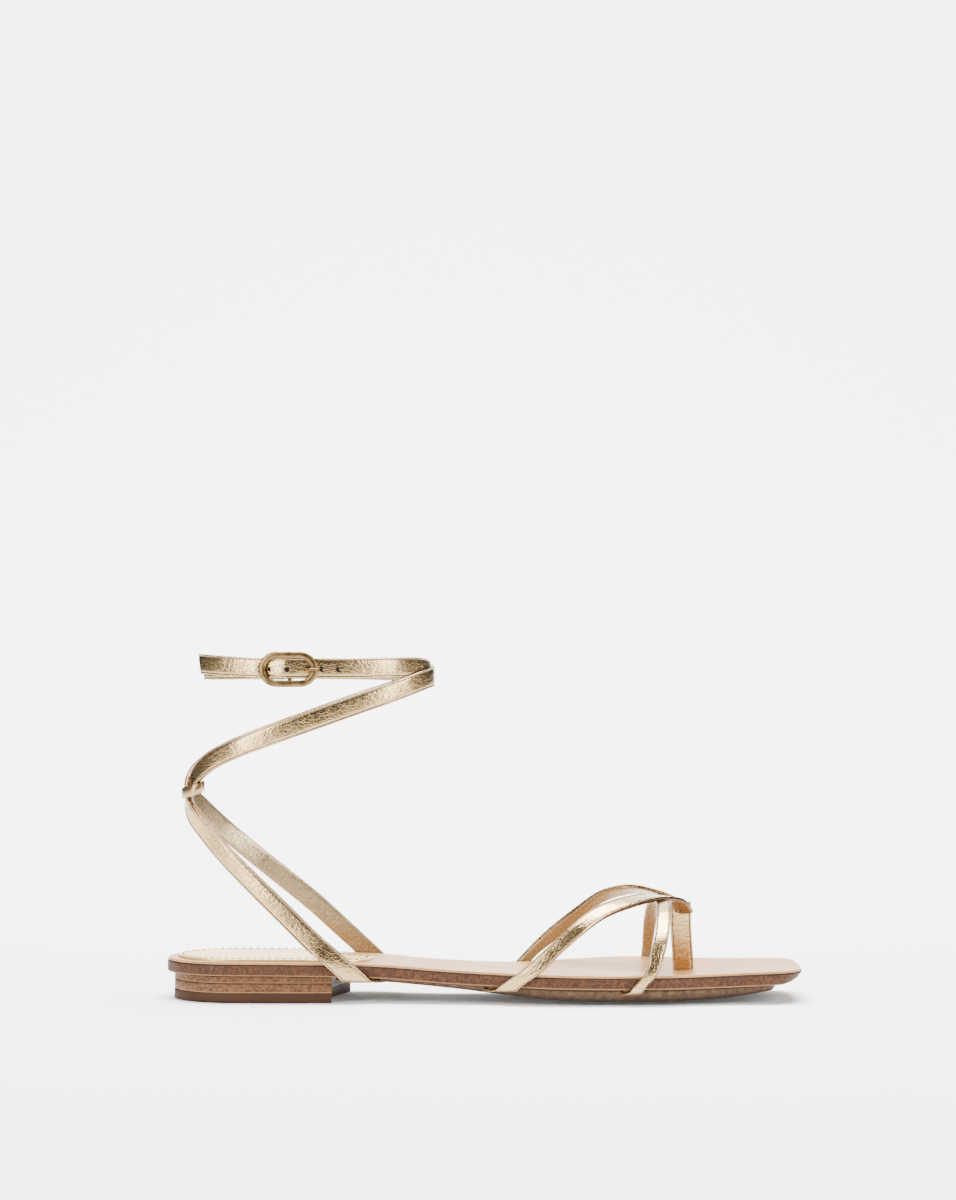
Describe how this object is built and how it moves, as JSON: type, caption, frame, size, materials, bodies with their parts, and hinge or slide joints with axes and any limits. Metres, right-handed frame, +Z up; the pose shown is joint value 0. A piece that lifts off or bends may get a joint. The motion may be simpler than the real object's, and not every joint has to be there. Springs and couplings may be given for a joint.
{
  "type": "ankle wrap thong sandal",
  "caption": "Flat metallic leather sandal for the right foot, with a toe post, crossing forefoot straps and an ankle wrap closed by an oval buckle.",
  "frame": {"origin": "middle of the heel's flat resting face, on the floor", "axes": "+X to the toe, +Y to the inner (medial) side of the right foot, +Z up"},
  "size_m": [0.254, 0.0902, 0.1389],
  "materials": {
    "outsole_leather": "matte tan leather",
    "leatherboard": "sanded speckled leatherboard",
    "insole_leather": "smooth glossy nude leather",
    "pad_leather": "pale champagne foil with a stitched border",
    "heel_stack": "stacked leather edge",
    "heel_rubber": "satin brown rubber",
    "foil_leather": "crackled metallic pale gold foil",
    "keeper_leather": "pale metallic leather",
    "antique_brass": "brushed antique brass"
  },
  "bodies": {
    "root": {"outsole": "outsole_leather", "midsole": "leatherboard", "insole": "insole_leather", "heel_pad": "pad_leather", "heel_lift_upper": "heel_stack", "heel_lift_lower": "heel_stack", "heel_top_piece": "heel_rubber", "forefoot_straps": "foil_leather", "ankle_straps": "foil_leather", "keeper_loop": "keeper_leather", "buckle_frame": "antique_brass", "buckle_prong": "antique_brass"}
  },
  "joints": []
}
